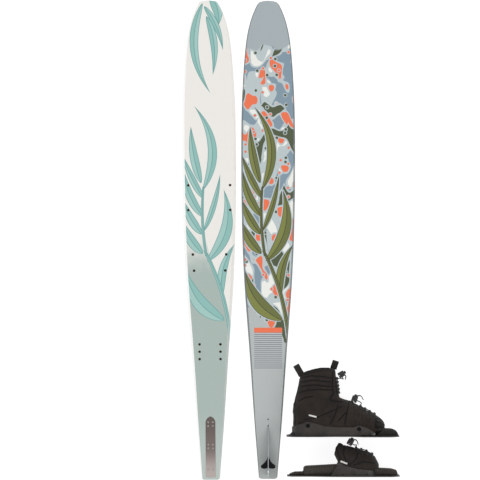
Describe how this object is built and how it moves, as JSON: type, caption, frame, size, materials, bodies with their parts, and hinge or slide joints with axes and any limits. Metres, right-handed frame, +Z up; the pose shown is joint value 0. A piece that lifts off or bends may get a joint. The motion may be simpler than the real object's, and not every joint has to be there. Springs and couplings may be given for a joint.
{
  "type": "water ski pair",
  "caption": "Slalom water skis laid out deck up and base up, with a laced boot on its plate and a rear toe plate, ready to bolt on.",
  "frame": {"origin": "middle of the layout's footprint, on the floor the kit lies on", "axes": "+Y from the skis' tails to their tips, +Z up from the floor, +X towards the boot's and toe plate's toes"},
  "size_m": [0.748, 1.6516, 0.164],
  "materials": {
    "deck_laminate": "gloss lacquer over a printed top sheet",
    "base_laminate": "satin printed base sheet",
    "foam_core": "closed-cell foam",
    "insert_brass": "machined",
    "plate_metal": "brushed, dark",
    "box_plastic": "moulded",
    "clamp_metal": "machined",
    "screw_steel": "stainless",
    "fin_metal": "brushed",
    "wing_metal": "black anodised",
    "plate_plastic": "fibre-filled sheet",
    "frame_plastic": "moulded, fine texture",
    "bolt_steel": "black oxide",
    "pad_foam": "grooved foam",
    "upper_fabric": "coated woven fabric",
    "liner_fabric": "brushed neoprene",
    "tongue_fabric": "padded mesh",
    "tag_fabric": "woven, blank",
    "eyelet_plastic": "moulded",
    "lace_cord": "round braid",
    "lock_plastic": "moulded",
    "button_plastic": "moulded",
    "webbing": "ribbed webbing",
    "hood_neoprene": "quilted neoprene",
    "bracket_plastic": "satin moulding"
  },
  "bodies": {
    "deck_up_ski": {"deck_up_top_shell": "deck_laminate", "deck_up_base_shell": "base_laminate", "deck_up_core": "foam_core", "deck_up_inserts": "insert_brass", "deck_up_fin_plate": "plate_metal", "deck_up_fin_box": "box_plastic", "deck_up_fin_clamps": "clamp_metal", "deck_up_fin_screws": "screw_steel"},
    "deck_up_fin_blade": {"deck_up_fin": "fin_metal"},
    "deck_up_wings": {"deck_up_wing": "wing_metal", "deck_up_wing_screws": "screw_steel"},
    "base_up_ski": {"base_up_top_shell": "deck_laminate", "base_up_base_shell": "base_laminate", "base_up_core": "foam_core", "base_up_inserts": "insert_brass", "base_up_fin_plate": "plate_metal", "base_up_fin_box": "box_plastic", "base_up_fin_clamps": "clamp_metal", "base_up_fin_screws": "screw_steel"},
    "base_up_fin_blade": {"base_up_fin": "fin_metal"},
    "base_up_wings": {"base_up_wing": "wing_metal", "base_up_wing_screws": "screw_steel"},
    "boot": {"boot_plate": "plate_plastic", "boot_frame": "frame_plastic", "boot_frame_bolts": "bolt_steel", "boot_toe_pad": "pad_foam", "boot_shell": "upper_fabric", "boot_liner": "liner_fabric", "boot_tongue": "tongue_fabric", "boot_insole": "liner_fabric", "boot_tags": "tag_fabric", "boot_eyelets": "eyelet_plastic", "boot_lace": "lace_cord", "boot_lock": "lock_plastic", "boot_lace_loop": "lace_cord"},
    "boot_cuff": {"cuff": "upper_fabric", "cuff_liner": "liner_fabric", "cuff_tongue": "tongue_fabric", "cuff_eyelets": "eyelet_plastic", "cuff_lace": "lace_cord", "cuff_lock": "lock_plastic", "cuff_lace_loop": "lace_cord", "heel_pull": "webbing", "tongue_pull": "webbing"},
    "toe_plate_binding": {"toe_plate": "plate_plastic", "toe_pad": "pad_foam", "toe_hood": "hood_neoprene", "toe_tongue": "tongue_fabric", "toe_brackets": "bracket_plastic", "toe_screws": "screw_steel", "toe_tags": "tag_fabric", "toe_eyelets": "eyelet_plastic", "toe_lace": "lace_cord", "toe_lock": "lock_plastic", "toe_lace_loop": "lace_cord"},
    "boot_button": {"boot_lock_button": "button_plastic"},
    "cuff_button": {"cuff_lock_button": "button_plastic"},
    "toe_button": {"toe_lock_button": "button_plastic"}
  },
  "joints": [
    {"name": "base_up_ski_lift", "type": "slide", "parent": "deck_up_ski", "child": "base_up_ski", "axis": [0, 0, 1], "range_m": [0, 0.3]},
    {"name": "boot_lift", "type": "slide", "parent": "deck_up_ski", "child": "boot", "axis": [0, 0, 1], "range_m": [0, 0.3]},
    {"name": "toe_plate_lift", "type": "slide", "parent": "deck_up_ski", "child": "toe_plate_binding", "axis": [0, 0, 1], "range_m": [0, 0.3]},
    {"name": "deck_up_fin_slide", "type": "slide", "parent": "deck_up_ski", "child": "deck_up_fin_blade", "axis": [-0.0058, 0.9986, -0.0528], "range_m": [-0.005, 0.005]},
    {"name": "deck_up_wing_tilt", "type": "hinge", "parent": "deck_up_fin_blade", "child": "deck_up_wings", "pos_m": [-0.27481, -0.7574, 0.02626], "axis": [1, 0.0058, 0], "range_deg": [-8, 8]},
    {"name": "base_up_fin_slide", "type": "slide", "parent": "base_up_ski", "child": "base_up_fin_blade", "axis": [0, 0.9997, 0.0231], "range_m": [-0.005, 0.005]},
    {"name": "base_up_wing_tilt", "type": "hinge", "parent": "base_up_fin_blade", "child": "base_up_wings", "pos_m": [-0.07681, -0.75667, 0.04572], "axis": [-1, 0, 0], "range_deg": [-8, 8]},
    {"name": "cuff_flex", "type": "hinge", "parent": "boot", "child": "boot_cuff", "pos_m": [0.06078, -0.57444, 0.082], "axis": [0, 0, -1], "range_deg": [-4, 10], "stiffness_Nm_per_rad": 8},
    {"name": "boot_lock_press", "type": "slide", "parent": "boot", "child": "boot_button", "axis": [-0.342, -0.9397, 0], "range_m": [0, 0.0038], "stiffness_N_per_m": 400},
    {"name": "cuff_lock_press", "type": "slide", "parent": "boot_cuff", "child": "cuff_button", "axis": [-0.866, -0.5, 0], "range_m": [0, 0.0038], "stiffness_N_per_m": 400},
    {"name": "toe_lock_press", "type": "slide", "parent": "toe_plate_binding", "child": "toe_button", "axis": [-0.5, -0.866, 0], "range_m": [0, 0.0038], "stiffness_N_per_m": 400}
  ]
}
